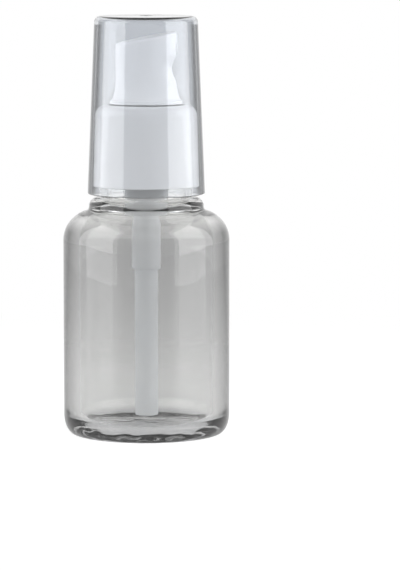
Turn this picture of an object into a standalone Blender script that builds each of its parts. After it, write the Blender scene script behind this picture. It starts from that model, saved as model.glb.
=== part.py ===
# Pump dispenser bottle: thick-walled clear bottle with a threaded neck, a screw-on pump and a
# clear overcap. Metres, +Z up, origin at the centre of the base. Sizes are read off at 0.25 mm a
# pixel, which a 24 mm neck finish sets. The pump hangs from one empty on the rim of the bottle,
# so every pump height below is measured from that rim.
import math

import bmesh
import bpy
from mathutils import Matrix

# Bottle
bottle_height = 0.0760
body_radius = 0.02075
body_wall = 0.0041
base_thickness = 0.0022
base_round_width = 0.0027
base_round_height = 0.0034
foot_width = 0.0050
foot_slope = 0.0010
push_up = 0.0006
floor_round = 0.0024
shoulder_round = 0.0075
inner_shoulder_round = 0.0050
ring_radius = 0.0143
ring_height = 0.0031
ring_round = 0.0022
ring_side = 0.0005
neck_height = 0.0168
neck_radius = 0.0114
neck_fillet = 0.0005
neck_wall = 0.0025
throat_slope = math.radians(45)
throat_wall = 0.0022
throat_round = 0.0020
mouth_round = 0.0004
lip_height = 0.0011
lip_round = 0.0008
lip_stand = 0.00015
lip_slope = 0.0003
step_drop = 0.0114
lug_size = 0.0012
lug_stand = 0.0004

# Neck finish, right-handed thread
thread_root_radius = 0.0113
thread_depth = 0.0007
thread_pitch = 0.0030
thread_foot_width = 0.0019
thread_crest_width = 0.0007
thread_end_drop = 0.0022
thread_sink = 0.0003
thread_clearance = 0.0002
thread_start = math.radians(237)
thread_sweep = math.radians(407)
thread_fade = math.radians(28)
thread_step = math.radians(10)
collar_thread_start = math.radians(150)
collar_thread_sweep = math.radians(370)

# Gaps between pieces that seat on each other, slide in each other or are pressed together
seat_gap = 0.0002
slide_gap = 0.0002
fit_gap = 0.00015
neck_play = 0.0005
mouth_play = 0.0003

# Pump travel
stroke = 0.0040
inlet_lift = 0.0007
outlet_lift = 0.0008

# Gasket and housing
gasket_thickness = 0.0008
flange_thickness = 0.0008
flange_inset = 0.0001
cup_depth = 0.0067
cup_wall = 0.0009
chamber_radius = 0.0045
chamber_wall = 0.0009
chamber_depth = 0.0155
tail_wall = 0.00055
tail_cone = 0.0020
tail_length = 0.0100
socket_depth = 0.0082
inlet_hole_radius = 0.0013
inlet_hole_length = 0.0016
valve_cell_margin = 0.0005

# Dip tube
tube_radius = 0.0029
tube_bore_radius = 0.0018
tube_floor_gap = 0.0024

# Valves
inlet_ball_radius = 0.0020
outlet_ball_radius = 0.0014
retainer_thickness = 0.0008
retainer_spigot = 0.0015
retainer_spigot_radius = 0.0018
retainer_bore_radius = 0.0010
retainer_slot_width = 0.0008
retainer_slot_depth = 0.0004

# Return spring
spring_wire_radius = 0.00035
spring_radius = 0.0031
spring_turns = 6
spring_points_per_turn = 9

# Plunger, piston and stem
plunger_radius = 0.0039
plunger_thickness = 0.0008
plunger_plug_length = 0.0022
piston_length = 0.0032
piston_lip = 0.0006
piston_waist = 0.0009
piston_sleeve_radius = 0.0023
stem_radius = 0.00245
stem_bore_radius = 0.0014
stem_length = 0.0225
stem_seat_radius = 0.00095
stem_seat_length = 0.0006
stem_port_radius = 0.0005
stem_cell_wall = 0.0006

# Chaplet, the bush that holds the stem in the housing
chaplet_wall = 0.0008
chaplet_floor = 0.0010
chaplet_rim = 0.0008
chaplet_guide_height = 0.0052

# Collar
collar_height = 0.0203
collar_top_round = 0.0028
collar_top_wall = 0.0012
collar_wall = 0.0004
collar_draft = 0.00055
collar_ring_width = 0.0011
collar_bore_stand = 0.0007

# Actuator
foot_radius = 0.0090
foot_band = 0.0009
foot_rise = 0.0002
foot_flare = 0.0050
head_radius = 0.0076
actuator_wall = 0.0008
actuator_height = 0.0164
actuator_slope = math.radians(10.7)
hub_wall = 0.0010
hub_lift = 0.0008
head_cavity_drop = 0.0066
outlet_radius = 0.0008
nozzle_drop = 0.0024
nozzle_radius = 0.0020
nozzle_length = 0.0024
nozzle_stand = 0.00015
nozzle_orifice_radius = 0.0004
nozzle_face = 0.0006
edge_bevel = 0.0003

# Overcap
overcap_height = 0.0442
overcap_overhang = 0.0020
overcap_wall = 0.0009
overcap_top_wall = 0.0012
overcap_draft = 0.0018
overcap_round = 0.0016
overcap_gap = 0.00035
overcap_ring_gap = 0.0009
overcap_head_gap = 0.0020

# Cutters run past the faces they cut by this much
overrun = 0.0010

big_steps = 40
middle_steps = 28
small_steps = 20
sharp_edge = math.radians(32)


# Heights above the rim of the bottle
gasket_level = seat_gap
flange_level = gasket_level + gasket_thickness + seat_gap
housing_top = flange_level + flange_thickness
cup_floor = housing_top - cup_depth
chamber_floor = cup_floor - chamber_depth
chaplet_level = cup_floor + seat_gap + fit_gap
chaplet_rim_level = housing_top + seat_gap
collar_ring_level = housing_top + seat_gap
# The collar carries the actuator at least a stroke above its ring, and keeps the overcap's rim
# off the neck's ring
stroke_level = max(collar_ring_level, chaplet_rim_level) + stroke + seat_gap + fit_gap * 2
lowest_collar_level = overcap_overhang + overcap_ring_gap - neck_height
collar_top = max(stroke_level - foot_rise, lowest_collar_level + collar_height)
collar_level = collar_top - collar_height
actuator_level = collar_top + foot_rise
retainer_level = chamber_floor + seat_gap + fit_gap
spring_bottom = retainer_level + retainer_thickness + seat_gap
piston_top = chaplet_level - seat_gap - slide_gap
piston_level = piston_top - piston_length
stem_shoulder = piston_top + seat_gap
stem_level = piston_level - fit_gap
plunger_top = stem_level - seat_gap
plunger_level = plunger_top - plunger_thickness
spring_top = plunger_level - seat_gap
stem_top = stem_level + stem_length
head_top = actuator_level + actuator_height
head_peak = head_top + head_radius * math.tan(actuator_slope)
# The overcap hangs below the collar's rim, or higher where its ceiling would meet the head
lowest_overcap_level = head_peak + overcap_head_gap + overcap_top_wall - overcap_height
overcap_level = max(collar_level - overcap_overhang, lowest_overcap_level)

# Radii that follow from what a piece fits in or goes round
bore_radius = neck_radius - neck_wall
thread_crest_radius = thread_root_radius + thread_depth
lip_radius = thread_root_radius + lip_stand
collar_thread_radius = lip_radius + thread_clearance
collar_root_radius = thread_crest_radius + thread_clearance
flange_radius = thread_root_radius - flange_inset
cup_radius = bore_radius - neck_play
chamber_outer_radius = chamber_radius + chamber_wall
socket_radius = tube_radius + fit_gap
tail_radius = socket_radius + tail_wall
chaplet_radius = cup_radius - cup_wall - mouth_play
chaplet_rim_radius = foot_radius - actuator_wall - slide_gap
guide_radius = stem_radius + mouth_play
stem_low_radius = piston_sleeve_radius - slide_gap
piston_radius = chamber_radius - slide_gap
hub_radius = stem_radius + fit_gap + hub_wall
collar_hole_radius = foot_radius + mouth_play
collar_bore_radius = flange_radius + mouth_play
collar_low_radius = collar_root_radius + collar_wall + collar_draft
collar_high_radius = collar_low_radius - collar_draft


def clear_scene():
    for old in list(bpy.data.objects):
        bpy.data.objects.remove(old, do_unlink=True)


def new_collection(name):
    collection = bpy.data.collections.new(name)
    bpy.context.scene.collection.children.link(collection)
    return collection


def arc(center, width, height, start, end, count):
    # Points of an ellipse in the (radius, height) plane, angles in degrees from the +radius axis
    points = []
    for i in range(count):
        angle = math.radians(start + (end - start) * i / (count - 1))
        points.append((center[0] + width * math.cos(angle), center[1] + height * math.sin(angle)))
    return points


def make_material(name, color, roughness, metallic=0.0, transmission=0.0):
    material = bpy.data.materials.new(name)
    material.use_nodes = True
    shader = material.node_tree.nodes["Principled BSDF"]
    shader.inputs["Base Color"].default_value = (*color, 1.0)
    shader.inputs["Roughness"].default_value = roughness
    shader.inputs["Metallic"].default_value = metallic
    shader.inputs["Transmission Weight"].default_value = transmission
    return material


def place(obj, collection, material=None, parent=None, level=0.0):
    collection.objects.link(obj)
    obj.parent = parent
    obj.location.z = level
    if material:
        obj.data.materials.append(material)
    return obj


def turned(name, outline, steps):
    # The outline runs down the outer side. It is open where both of its ends lie on the axis.
    mesh = bpy.data.meshes.new(name)
    points = [(radius, 0.0, height) for radius, height in outline]
    edges = [(i, i + 1) for i in range(len(points) - 1)]
    if outline[0][0] > 0.0:
        edges.append((len(points) - 1, 0))
    mesh.from_pydata(points, edges, [])
    obj = bpy.data.objects.new(name, mesh)
    screw = obj.modifiers.new("turn", "SCREW")
    screw.axis = "Z"
    screw.steps = steps
    screw.render_steps = steps
    screw.use_merge_vertices = True
    screw.merge_threshold = 0.00001
    screw.use_smooth_shade = True
    return obj


def ball(name, radius):
    shape = bmesh.new()
    bmesh.ops.create_uvsphere(shape, u_segments=12, v_segments=8, radius=radius)
    mesh = bpy.data.meshes.new(name)
    shape.to_mesh(mesh)
    shape.free()
    mesh.shade_smooth()
    return bpy.data.objects.new(name, mesh)


def rod(name, radius, length, steps):
    shape = bmesh.new()
    bmesh.ops.create_cone(shape, cap_ends=True, segments=steps, radius1=radius, radius2=radius, depth=length)
    mesh = bpy.data.meshes.new(name)
    shape.to_mesh(mesh)
    shape.free()
    return bpy.data.objects.new(name, mesh)


def block(name, size):
    shape = bmesh.new()
    bmesh.ops.create_cube(shape, size=1.0)
    bmesh.ops.scale(shape, vec=size, verts=shape.verts)
    mesh = bpy.data.meshes.new(name)
    shape.to_mesh(mesh)
    shape.free()
    return bpy.data.objects.new(name, mesh)


def ridge(name, foot_radius_at, crest_radius_at, level_at_end, start, sweep):
    # One thread ridge, lofted from sections that fade into the wall at both ends
    count = round(sweep / thread_step)
    shape = bmesh.new()
    rings = []
    for i in range(count + 1):
        angle = start + sweep * i / count
        height = level_at_end - thread_pitch * (start + sweep - angle) / math.tau
        rise = min(1.0, sweep * i / count / thread_fade, sweep * (count - i) / count / thread_fade)
        rise = 0.2 + 0.8 * math.sin(rise * math.pi / 2)
        crest = foot_radius_at + (crest_radius_at - foot_radius_at) * rise
        half_foot = thread_foot_width / 2
        half_crest = thread_crest_width / 2
        section = [(foot_radius_at, -half_foot), (crest, -half_crest)]
        section += [(crest, half_crest), (foot_radius_at, half_foot)]
        places = [(r * math.cos(angle), r * math.sin(angle), height + z) for r, z in section]
        rings.append([shape.verts.new(at) for at in places])
    for near, far in zip(rings, rings[1:]):
        for i in range(len(near)):
            j = (i + 1) % len(near)
            shape.faces.new((near[i], near[j], far[j], far[i]))
    shape.faces.new(rings[0])
    shape.faces.new(rings[-1])
    bmesh.ops.recalc_face_normals(shape, faces=shape.faces)
    mesh = bpy.data.meshes.new(name)
    shape.to_mesh(mesh)
    shape.free()
    return bpy.data.objects.new(name, mesh)


def combine(obj, tool, cutters, operation, parent=None):
    # The tool keeps its place and stays in the file as a wire guide
    cutters.objects.link(tool)
    tool.parent = parent
    tool.hide_render = True
    tool.display_type = "WIRE"
    boolean = obj.modifiers.new(tool.name, "BOOLEAN")
    boolean.object = tool
    boolean.operation = operation
    boolean.solver = "EXACT"


def set_smooth(obj):
    # Turns the modifiers into one mesh and marks its sharp edges
    bpy.context.view_layer.update()
    graph = bpy.context.evaluated_depsgraph_get()
    mesh = bpy.data.meshes.new_from_object(obj.evaluated_get(graph))
    mesh.name = obj.name
    obj.modifiers.clear()
    obj.data = mesh
    mesh.shade_smooth()
    mesh.set_sharp_from_angle(angle=sharp_edge)


def make_bottle(parts, cutters, material):
    neck_base = bottle_height - neck_height
    shoulder_top = neck_base - ring_height
    shoulder_center = (body_radius - shoulder_round, shoulder_top - shoulder_round)
    inner_radius = body_radius - body_wall
    base_corner = (body_radius - base_round_width, base_round_height)
    foot_inner = body_radius - base_round_width - foot_width

    outline = [(0.0, base_thickness)]
    floor_corner = (inner_radius - floor_round, base_thickness + floor_round)
    outline += arc(floor_corner, floor_round, floor_round, -90, 0, 6)
    # The inside narrows to the neck in a cone that passes under the ring's foot
    outward = math.sin(throat_slope)
    upward = math.cos(throat_slope)
    cone = ring_radius * outward + shoulder_top * upward - throat_wall
    steepness = math.degrees(throat_slope)
    inner_center = inner_radius - inner_shoulder_round
    inner_level = (cone - inner_shoulder_round - inner_center * outward) / upward
    inner_corner = (inner_center, inner_level)
    outline += arc(inner_corner, inner_shoulder_round, inner_shoulder_round, 0, 90 - steepness, 5)
    throat_center = bore_radius + throat_round
    throat_level = (cone + throat_round - throat_center * outward) / upward
    throat_corner = (throat_center, throat_level)
    outline += arc(throat_corner, throat_round, throat_round, 270 - steepness, 180, 4)
    outline += [(bore_radius, bottle_height - mouth_round), (bore_radius + mouth_round, bottle_height)]
    lip_corner = (lip_radius - lip_round, bottle_height - lip_round)
    outline += arc(lip_corner, lip_round, lip_round, 90, 0, 4)
    outline += [(lip_radius, bottle_height - lip_height)]
    outline += [(thread_root_radius, bottle_height - lip_height - lip_slope)]
    outline += [(thread_root_radius, bottle_height - step_drop)]
    outline += [(neck_radius, bottle_height - step_drop - lip_slope)]
    neck_corner = (neck_radius + neck_fillet, neck_base + neck_fillet)
    outline += arc(neck_corner, neck_fillet, neck_fillet, 180, 270, 3)
    ring_corner = (ring_radius - ring_round, neck_base - ring_round)
    outline += arc(ring_corner, ring_round, ring_round, 90, 0, 6)
    outline += [(ring_radius, shoulder_top + ring_side)]
    outline += arc(shoulder_center, shoulder_round, shoulder_round, 76, 0, 8)
    outline += arc(base_corner, base_round_width, base_round_height, 0, -90, 6)
    outline += [(foot_inner, 0.0), (foot_inner - foot_slope, push_up), (0.0, push_up)]

    bottle = place(turned("bottle", outline, big_steps), parts, material)
    foot = thread_root_radius - thread_sink
    thread_end = bottle_height - thread_end_drop
    thread = ridge("neck_thread", foot, thread_crest_radius, thread_end, thread_start, thread_sweep)
    combine(bottle, thread, cutters, "UNION")
    lug = block("neck_lug", (lug_size, lug_size, lug_size))
    lug.location = (lug_size / 2 - neck_radius - lug_stand, 0.0, bottle_height - step_drop)
    combine(bottle, lug, cutters, "UNION")
    set_smooth(bottle)


def make_gasket(parts, material, pump):
    inner = cup_radius + mouth_play
    outline = [
        (flange_radius, gasket_thickness),
        (flange_radius, 0.0),
        (inner, 0.0),
        (inner, gasket_thickness),
    ]
    set_smooth(place(turned("gasket", outline, big_steps), parts, material, pump, gasket_level))


def make_housing(parts, material, pump):
    # Heights above the cup's floor
    flange_top = housing_top - cup_floor
    flange_bottom = flange_level - cup_floor
    chamber_bottom = -chamber_depth
    cell_radius = inlet_ball_radius + valve_cell_margin
    seat_height = cell_radius - inlet_hole_radius
    seat_level = chamber_bottom - inlet_cell_height()
    hole_bottom = seat_level - seat_height - inlet_hole_length
    tail_bottom = hole_bottom - socket_depth
    tail_top = tail_bottom + tail_length
    outline = [
        (flange_radius, flange_top),
        (flange_radius, flange_bottom),
        (cup_radius, flange_bottom),
        (cup_radius, -cup_wall + edge_bevel),
        (cup_radius - edge_bevel, -cup_wall),
        (chamber_outer_radius, -cup_wall),
        (chamber_outer_radius, tail_top + tail_cone),
        (tail_radius, tail_top),
        (tail_radius, tail_bottom),
        (socket_radius, tail_bottom),
        (socket_radius, hole_bottom),
        (inlet_hole_radius, hole_bottom),
        (inlet_hole_radius, seat_level - seat_height),
        (cell_radius, seat_level),
        (cell_radius, chamber_bottom),
        (chamber_radius, chamber_bottom),
        (chamber_radius, 0.0),
        (cup_radius - cup_wall, 0.0),
        (cup_radius - cup_wall, flange_top),
    ]
    set_smooth(place(turned("housing", outline, middle_steps), parts, material, pump, cup_floor))
    return cup_floor + hole_bottom


def inlet_cell_height():
    # The cell holds the ball on its seat with room for its lift under the retainer
    contact = inlet_ball_radius * math.sqrt(0.5)
    seat_top = inlet_ball_radius + valve_cell_margin
    ball_top = contact + inlet_ball_radius + contact - seat_top + fit_gap
    return ball_top + inlet_lift


def make_dip_tube(parts, material, pump, hole_level):
    top = hole_level - seat_gap
    bottom = base_thickness + tube_floor_gap - bottle_height
    length = top - bottom
    outline = [(tube_radius, length), (tube_radius, 0.0), (tube_bore_radius, 0.0), (tube_bore_radius, length)]
    set_smooth(place(turned("dip_tube", outline, small_steps), parts, material, pump, bottom))


def make_inlet_ball(parts, material, pump):
    # The ball touches the seat cone at 45 degrees
    contact = inlet_ball_radius * math.sqrt(0.5)
    seat_height = inlet_ball_radius + valve_cell_margin - inlet_hole_radius
    seat_bottom = chamber_floor - inlet_cell_height() - seat_height
    level = seat_bottom + contact - inlet_hole_radius + contact + fit_gap
    place(ball("inlet_ball", inlet_ball_radius), parts, material, pump, level)


def make_ball_retainer(parts, cutters, material, pump):
    radius = chamber_radius - slide_gap
    outline = [
        (retainer_spigot_radius, retainer_thickness + retainer_spigot),
        (retainer_spigot_radius, retainer_thickness),
        (radius, retainer_thickness),
        (radius, 0.0),
        (retainer_bore_radius, 0.0),
        (retainer_bore_radius, retainer_thickness + retainer_spigot),
    ]
    retainer = place(turned("ball_retainer", outline, small_steps), parts, material, pump, retainer_level)
    slot_length = inlet_ball_radius * 2 + retainer_slot_width
    slot = block("retainer_slot", (slot_length, retainer_slot_width, retainer_slot_depth * 2))
    slot.location.z = retainer_level
    combine(retainer, slot, cutters, "DIFFERENCE", pump)
    set_smooth(retainer)


def spring_route():
    # One helix between the seats, with a straight end of one wire diameter at each seat
    wire = spring_wire_radius * 2
    low = spring_bottom + wire
    high = spring_top - wire
    count = spring_turns * spring_points_per_turn
    points = [(spring_radius, 0.0, spring_bottom)]
    for i in range(count + 1):
        angle = math.tau * spring_turns * i / count
        height = low + (high - low) * i / count
        points.append((spring_radius * math.cos(angle), spring_radius * math.sin(angle), height))
    points.append((spring_radius, 0.0, spring_top))
    pitch = (high - low) / spring_turns
    print("return_spring least gap between curls:", round((pitch - wire) * 1000, 3), "mm")
    return points


def make_return_spring(parts, material, pump):
    curve = bpy.data.curves.new("return_spring", "CURVE")
    curve.dimensions = "3D"
    points = spring_route()
    spline = curve.splines.new("POLY")
    spline.points.add(len(points) - 1)
    for point, place_at in zip(spline.points, points):
        point.co = (*place_at, 1.0)
    curve.bevel_depth = spring_wire_radius
    curve.bevel_resolution = 1
    curve.use_fill_caps = True
    place(bpy.data.objects.new("return_spring", curve), parts, material, pump)


def make_plunger(parts, material, pump):
    plug_radius = stem_bore_radius - fit_gap
    top = plunger_thickness + seat_gap + plunger_plug_length
    outline = [
        (0.0, top),
        (plug_radius, top),
        (plug_radius, plunger_thickness),
        (plunger_radius, plunger_thickness),
        (plunger_radius, 0.0),
        (0.0, 0.0),
    ]
    set_smooth(place(turned("plunger_tip", outline, small_steps), parts, material, pump, plunger_level))


def make_piston(parts, material, pump):
    waist = piston_radius - piston_waist
    outline = [
        (piston_radius, piston_length),
        (piston_radius, piston_length - piston_lip),
        (waist, piston_length - piston_lip * 2),
        (waist, piston_lip * 2),
        (piston_radius, piston_lip),
        (piston_radius, 0.0),
        (piston_sleeve_radius, 0.0),
        (piston_sleeve_radius, piston_length),
    ]
    set_smooth(place(turned("piston", outline, small_steps), parts, material, pump, piston_level))


def outlet_seat_height():
    # The bottom of the seat cone, measured from the stem's lower end
    cell_radius = stem_radius - stem_cell_wall
    contact = outlet_ball_radius * math.sqrt(0.5)
    ball_above_seat = contact - stem_seat_radius + contact + outlet_ball_radius + fit_gap
    return stem_length - ball_above_seat - outlet_lift + min(0.0, outlet_ball_radius - cell_radius)


def make_stem(parts, cutters, material, pump):
    cell_radius = stem_radius - stem_cell_wall
    shoulder = stem_shoulder - stem_level
    seat = outlet_seat_height()
    outline = [
        (stem_radius, stem_length),
        (stem_radius, shoulder),
        (stem_low_radius, shoulder),
        (stem_low_radius, 0.0),
        (stem_bore_radius, 0.0),
        (stem_bore_radius, seat - stem_seat_length),
        (stem_seat_radius, seat - stem_seat_length),
        (stem_seat_radius, seat),
        (cell_radius, seat + cell_radius - stem_seat_radius),
        (cell_radius, stem_length),
    ]
    stem = place(turned("stem", outline, small_steps), parts, material, pump, stem_level)
    port = rod("stem_port", stem_port_radius, (stem_radius + overrun) * 2, 12)
    port.rotation_euler.y = math.pi / 2
    port.location.z = stem_shoulder + stem_port_radius * 2
    combine(stem, port, cutters, "DIFFERENCE", pump)
    set_smooth(stem)


def make_outlet_ball(parts, material, pump):
    contact = outlet_ball_radius * math.sqrt(0.5)
    level = stem_level + outlet_seat_height() + contact - stem_seat_radius + contact + fit_gap
    place(ball("outlet_ball", outlet_ball_radius), parts, material, pump, level)


def make_chaplet(parts, material, pump):
    rim_bottom = chaplet_rim_level - chaplet_level
    top = rim_bottom + chaplet_rim
    inner = chaplet_radius - chaplet_wall
    outline = [
        (chaplet_rim_radius, top),
        (chaplet_rim_radius, rim_bottom),
        (chaplet_radius, rim_bottom),
        (chaplet_radius, 0.0),
        (guide_radius, 0.0),
        (guide_radius, chaplet_guide_height),
        (guide_radius + chaplet_wall, chaplet_guide_height),
        (guide_radius + chaplet_wall, chaplet_floor),
        (inner, chaplet_floor),
        (inner, top),
    ]
    set_smooth(place(turned("chaplet", outline, middle_steps), parts, material, pump, chaplet_level))


def make_collar(parts, cutters, material, pump):
    ring_outer = collar_hole_radius + collar_ring_width
    ring_bottom = collar_ring_level - collar_level
    deck = collar_height - collar_top_wall
    thread_top = bottle_rim_in_collar() - lip_height
    outline = [(collar_hole_radius, collar_height)]
    corner = (collar_high_radius - collar_top_round, collar_height - collar_top_round)
    outline += arc(corner, collar_top_round, collar_top_round, 90, 0, 6)
    outline += [(collar_low_radius, edge_bevel), (collar_low_radius - edge_bevel, 0.0)]
    outline += [(collar_root_radius, 0.0), (collar_root_radius, thread_top)]
    outline += [(collar_bore_radius, thread_top + collar_bore_stand)]
    outline += [(collar_bore_radius, deck - edge_bevel), (collar_bore_radius - edge_bevel, deck)]
    outline += [(ring_outer, deck), (ring_outer, ring_bottom), (collar_hole_radius, ring_bottom)]
    collar = place(turned("collar", outline, big_steps), parts, material, pump, collar_level)
    foot = collar_root_radius + thread_sink
    # Half a pitch below the neck's own ridge, so that the two run in each other's gaps
    lag = (thread_start + thread_sweep - collar_thread_start - collar_thread_sweep) / math.tau
    level = -thread_end_drop - thread_pitch / 2 - thread_pitch * lag
    sweep = collar_thread_sweep
    thread = ridge("collar_thread", foot, collar_thread_radius, level, collar_thread_start, sweep)
    combine(collar, thread, cutters, "UNION", pump)
    set_smooth(collar)


def bottle_rim_in_collar():
    return -collar_level


def make_actuator(parts, cutters, material, pump):
    tall = actuator_height + head_radius * math.tan(actuator_slope) + overrun
    ceiling = actuator_height - head_cavity_drop
    hub_bottom = hub_lift
    hub_bore = stem_radius + fit_gap
    socket_top = stem_top - actuator_level + seat_gap
    channel_top = actuator_height - nozzle_drop
    flare = foot_radius - head_radius
    outline = [(0.0, tall), (head_radius, tall)]
    outline += arc((head_radius + flare, foot_band + foot_flare), flare, foot_flare, 180, 270, 6)[:-1]
    outline += [(foot_radius, foot_band), (foot_radius, 0.0), (foot_radius - actuator_wall, 0.0)]
    outline += [(foot_radius - actuator_wall, foot_band)]
    outline += [(head_radius - actuator_wall, foot_band + foot_flare / 2)]
    outline += [(head_radius - actuator_wall, ceiling), (hub_radius, ceiling)]
    outline += [(hub_radius, hub_bottom), (hub_bore, hub_bottom), (hub_bore, socket_top)]
    outline += [(outlet_radius, socket_top), (outlet_radius, channel_top), (0.0, channel_top)]
    actuator = place(turned("actuator", outline, middle_steps), parts, material, pump, actuator_level)

    top = block("finger_pad", (head_radius * 4, head_radius * 4, head_radius * 2))
    tilt = Matrix.Rotation(-actuator_slope, 4, "Y")
    lift = Matrix.Translation((0.0, 0.0, head_radius))
    top.data.transform(Matrix.Translation((0.0, 0.0, head_top)) @ tilt @ lift)
    combine(actuator, top, cutters, "DIFFERENCE", pump)

    nozzle_level = actuator_level + actuator_height - nozzle_drop
    bore_length = nozzle_length + overrun
    bore = rod("nozzle_bore", nozzle_radius + fit_gap, bore_length, small_steps)
    bore.rotation_euler.y = math.pi / 2
    bore.location = (head_radius + overrun - bore_length / 2, 0.0, nozzle_level)
    combine(actuator, bore, cutters, "DIFFERENCE", pump)
    duct = rod("nozzle_duct", outlet_radius, head_radius, 12)
    duct.rotation_euler.y = math.pi / 2
    duct.location = (head_radius / 2, 0.0, nozzle_level - outlet_radius / 4)
    combine(actuator, duct, cutters, "DIFFERENCE", pump)
    set_smooth(actuator)
    return nozzle_level


def make_nozzle(parts, material, pump, level):
    # A small cup pressed into the head, its closed face with the orifice looking out
    length = nozzle_length - seat_gap + nozzle_stand
    inner = nozzle_radius / 2
    outline = [
        (nozzle_orifice_radius, length),
        (nozzle_radius - edge_bevel, length),
        (nozzle_radius, length - edge_bevel),
        (nozzle_radius, 0.0),
        (inner, 0.0),
        (inner, length - nozzle_face),
        (nozzle_orifice_radius, length - nozzle_face),
    ]
    nozzle = place(turned("nozzle_insert", outline, small_steps), parts, material, pump, level)
    nozzle.rotation_euler.y = math.pi / 2
    nozzle.location.x = head_radius + nozzle_stand - length
    set_smooth(nozzle)


def make_overcap(parts, material, pump):
    # The wall leaves an even gap to the collar's shoulder, where the two are closest
    shoulder = collar_level + collar_height - collar_top_round - overcap_level
    low = collar_high_radius + overcap_gap + overcap_wall + overcap_draft * shoulder / overcap_height
    high = low - overcap_draft
    inner_round = max(overcap_round - overcap_wall, edge_bevel)
    ceiling = overcap_height - overcap_top_wall
    outline = [(0.0, overcap_height)]
    top_corner = (high - overcap_round, overcap_height - overcap_round)
    outline += arc(top_corner, overcap_round, overcap_round, 90, 0, 5)
    outline += [(low, 0.0), (low - overcap_wall, 0.0)]
    inner_corner = (high - overcap_wall - inner_round, ceiling - inner_round)
    outline += arc(inner_corner, inner_round, inner_round, 0, 90, 3)
    outline += [(0.0, ceiling)]
    set_smooth(place(turned("overcap", outline, big_steps), parts, material, pump, overcap_level))


def main():
    clear_scene()
    parts = new_collection("soap_pump_bottle")
    cutters = new_collection("guides")
    clear = make_material("clear_plastic", (0.93, 0.95, 0.95), 0.04, transmission=1.0)
    smoke = make_material("smoke_clear_plastic", (0.66, 0.70, 0.76), 0.06, transmission=1.0)
    white = make_material("white_plastic", (0.90, 0.90, 0.91), 0.25)
    natural = make_material("natural_plastic", (0.86, 0.87, 0.89), 0.35, transmission=0.5)
    foam = make_material("foam_liner", (0.88, 0.88, 0.86), 0.8)
    steel = make_material("spring_steel", (0.62, 0.62, 0.63), 0.25, metallic=1.0)
    glass = make_material("glass_ball", (0.85, 0.88, 0.88), 0.05, transmission=1.0)

    pump = bpy.data.objects.new("pump_seat", None)
    parts.objects.link(pump)
    pump.location.z = bottle_height

    make_bottle(parts, cutters, clear)
    make_gasket(parts, foam, pump)
    hole_level = make_housing(parts, natural, pump)
    make_dip_tube(parts, natural, pump, hole_level)
    make_inlet_ball(parts, steel, pump)
    make_ball_retainer(parts, cutters, white, pump)
    make_return_spring(parts, steel, pump)
    make_plunger(parts, white, pump)
    make_piston(parts, natural, pump)
    make_stem(parts, cutters, white, pump)
    make_outlet_ball(parts, glass, pump)
    make_chaplet(parts, white, pump)
    make_collar(parts, cutters, white, pump)
    nozzle_level = make_actuator(parts, cutters, white, pump)
    make_nozzle(parts, white, pump, nozzle_level)
    make_overcap(parts, smoke, pump)


main()
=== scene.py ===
import math

import bmesh
import bpy
from mathutils import Matrix, Vector, noise


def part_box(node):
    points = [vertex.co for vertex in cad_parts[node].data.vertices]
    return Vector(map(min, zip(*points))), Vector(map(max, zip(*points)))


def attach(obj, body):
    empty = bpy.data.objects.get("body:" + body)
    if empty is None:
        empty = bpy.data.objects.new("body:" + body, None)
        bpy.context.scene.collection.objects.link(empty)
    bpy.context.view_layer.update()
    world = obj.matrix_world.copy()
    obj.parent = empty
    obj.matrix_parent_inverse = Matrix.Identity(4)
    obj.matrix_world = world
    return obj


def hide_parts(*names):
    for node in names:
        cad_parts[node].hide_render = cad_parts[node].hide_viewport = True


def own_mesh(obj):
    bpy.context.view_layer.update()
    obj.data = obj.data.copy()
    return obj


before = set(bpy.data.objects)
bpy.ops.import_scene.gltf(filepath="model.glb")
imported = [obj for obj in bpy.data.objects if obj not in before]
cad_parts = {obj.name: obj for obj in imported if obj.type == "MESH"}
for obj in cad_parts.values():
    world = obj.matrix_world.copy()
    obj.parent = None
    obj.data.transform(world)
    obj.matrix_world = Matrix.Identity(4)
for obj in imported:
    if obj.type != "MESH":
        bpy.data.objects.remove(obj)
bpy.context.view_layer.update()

# Pump dispenser bottle, dressed for the studio. Sizes below are in millimetres, z from the table up.
mm = 0.001
roundSteps = 192  # faces round the big turned pieces
smallSteps = 96
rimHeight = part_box("bottle")[1].z / mm
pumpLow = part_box("collar")[0].z / mm
print("frame loaded, rim of the bottle at", round(rimHeight, 2), "mm")


# Outlines and turned shapes

def arcPoints(centre, width, height, start, end, steps=8):
    points = []
    for i in range(steps + 1):
        angle = math.radians(start + (end - start) * i / steps)
        points.append((centre[0] + width * math.cos(angle), centre[1] + height * math.sin(angle)))
    return points


def softOutline(corners, closed=True, stepAngle=12):
    # Corners are (radius, height) or (radius, height, fillet); each fillet becomes an arc
    points = []
    count = len(corners)
    for i, corner in enumerate(corners):
        here = Vector(corner[:2])
        fillet = corner[2] if len(corner) > 2 else 0
        if not fillet or (not closed and i in (0, count - 1)):
            points.append(tuple(here))
            continue
        back = (Vector(corners[i - 1][:2]) - here).normalized()
        ahead = (Vector(corners[(i + 1) % count][:2]) - here).normalized()
        half = back.angle(ahead) / 2
        centre = here + (back + ahead).normalized() * fillet / math.sin(half)
        first = here + back * fillet / math.tan(half) - centre
        last = here + ahead * fillet / math.tan(half) - centre
        turn = first.angle_signed(last)
        steps = max(2, round(math.degrees(abs(turn)) / stepAngle))
        for k in range(steps + 1):
            spoke = Matrix.Rotation(-turn * k / steps, 2) @ first
            points.append(tuple(centre + spoke))
    return points


def denseLine(start, end, spacing):
    steps = max(1, round((Vector(end) - Vector(start)).length / spacing))
    return [tuple(Vector(start).lerp(Vector(end), i / steps)) for i in range(steps + 1)]


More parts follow.
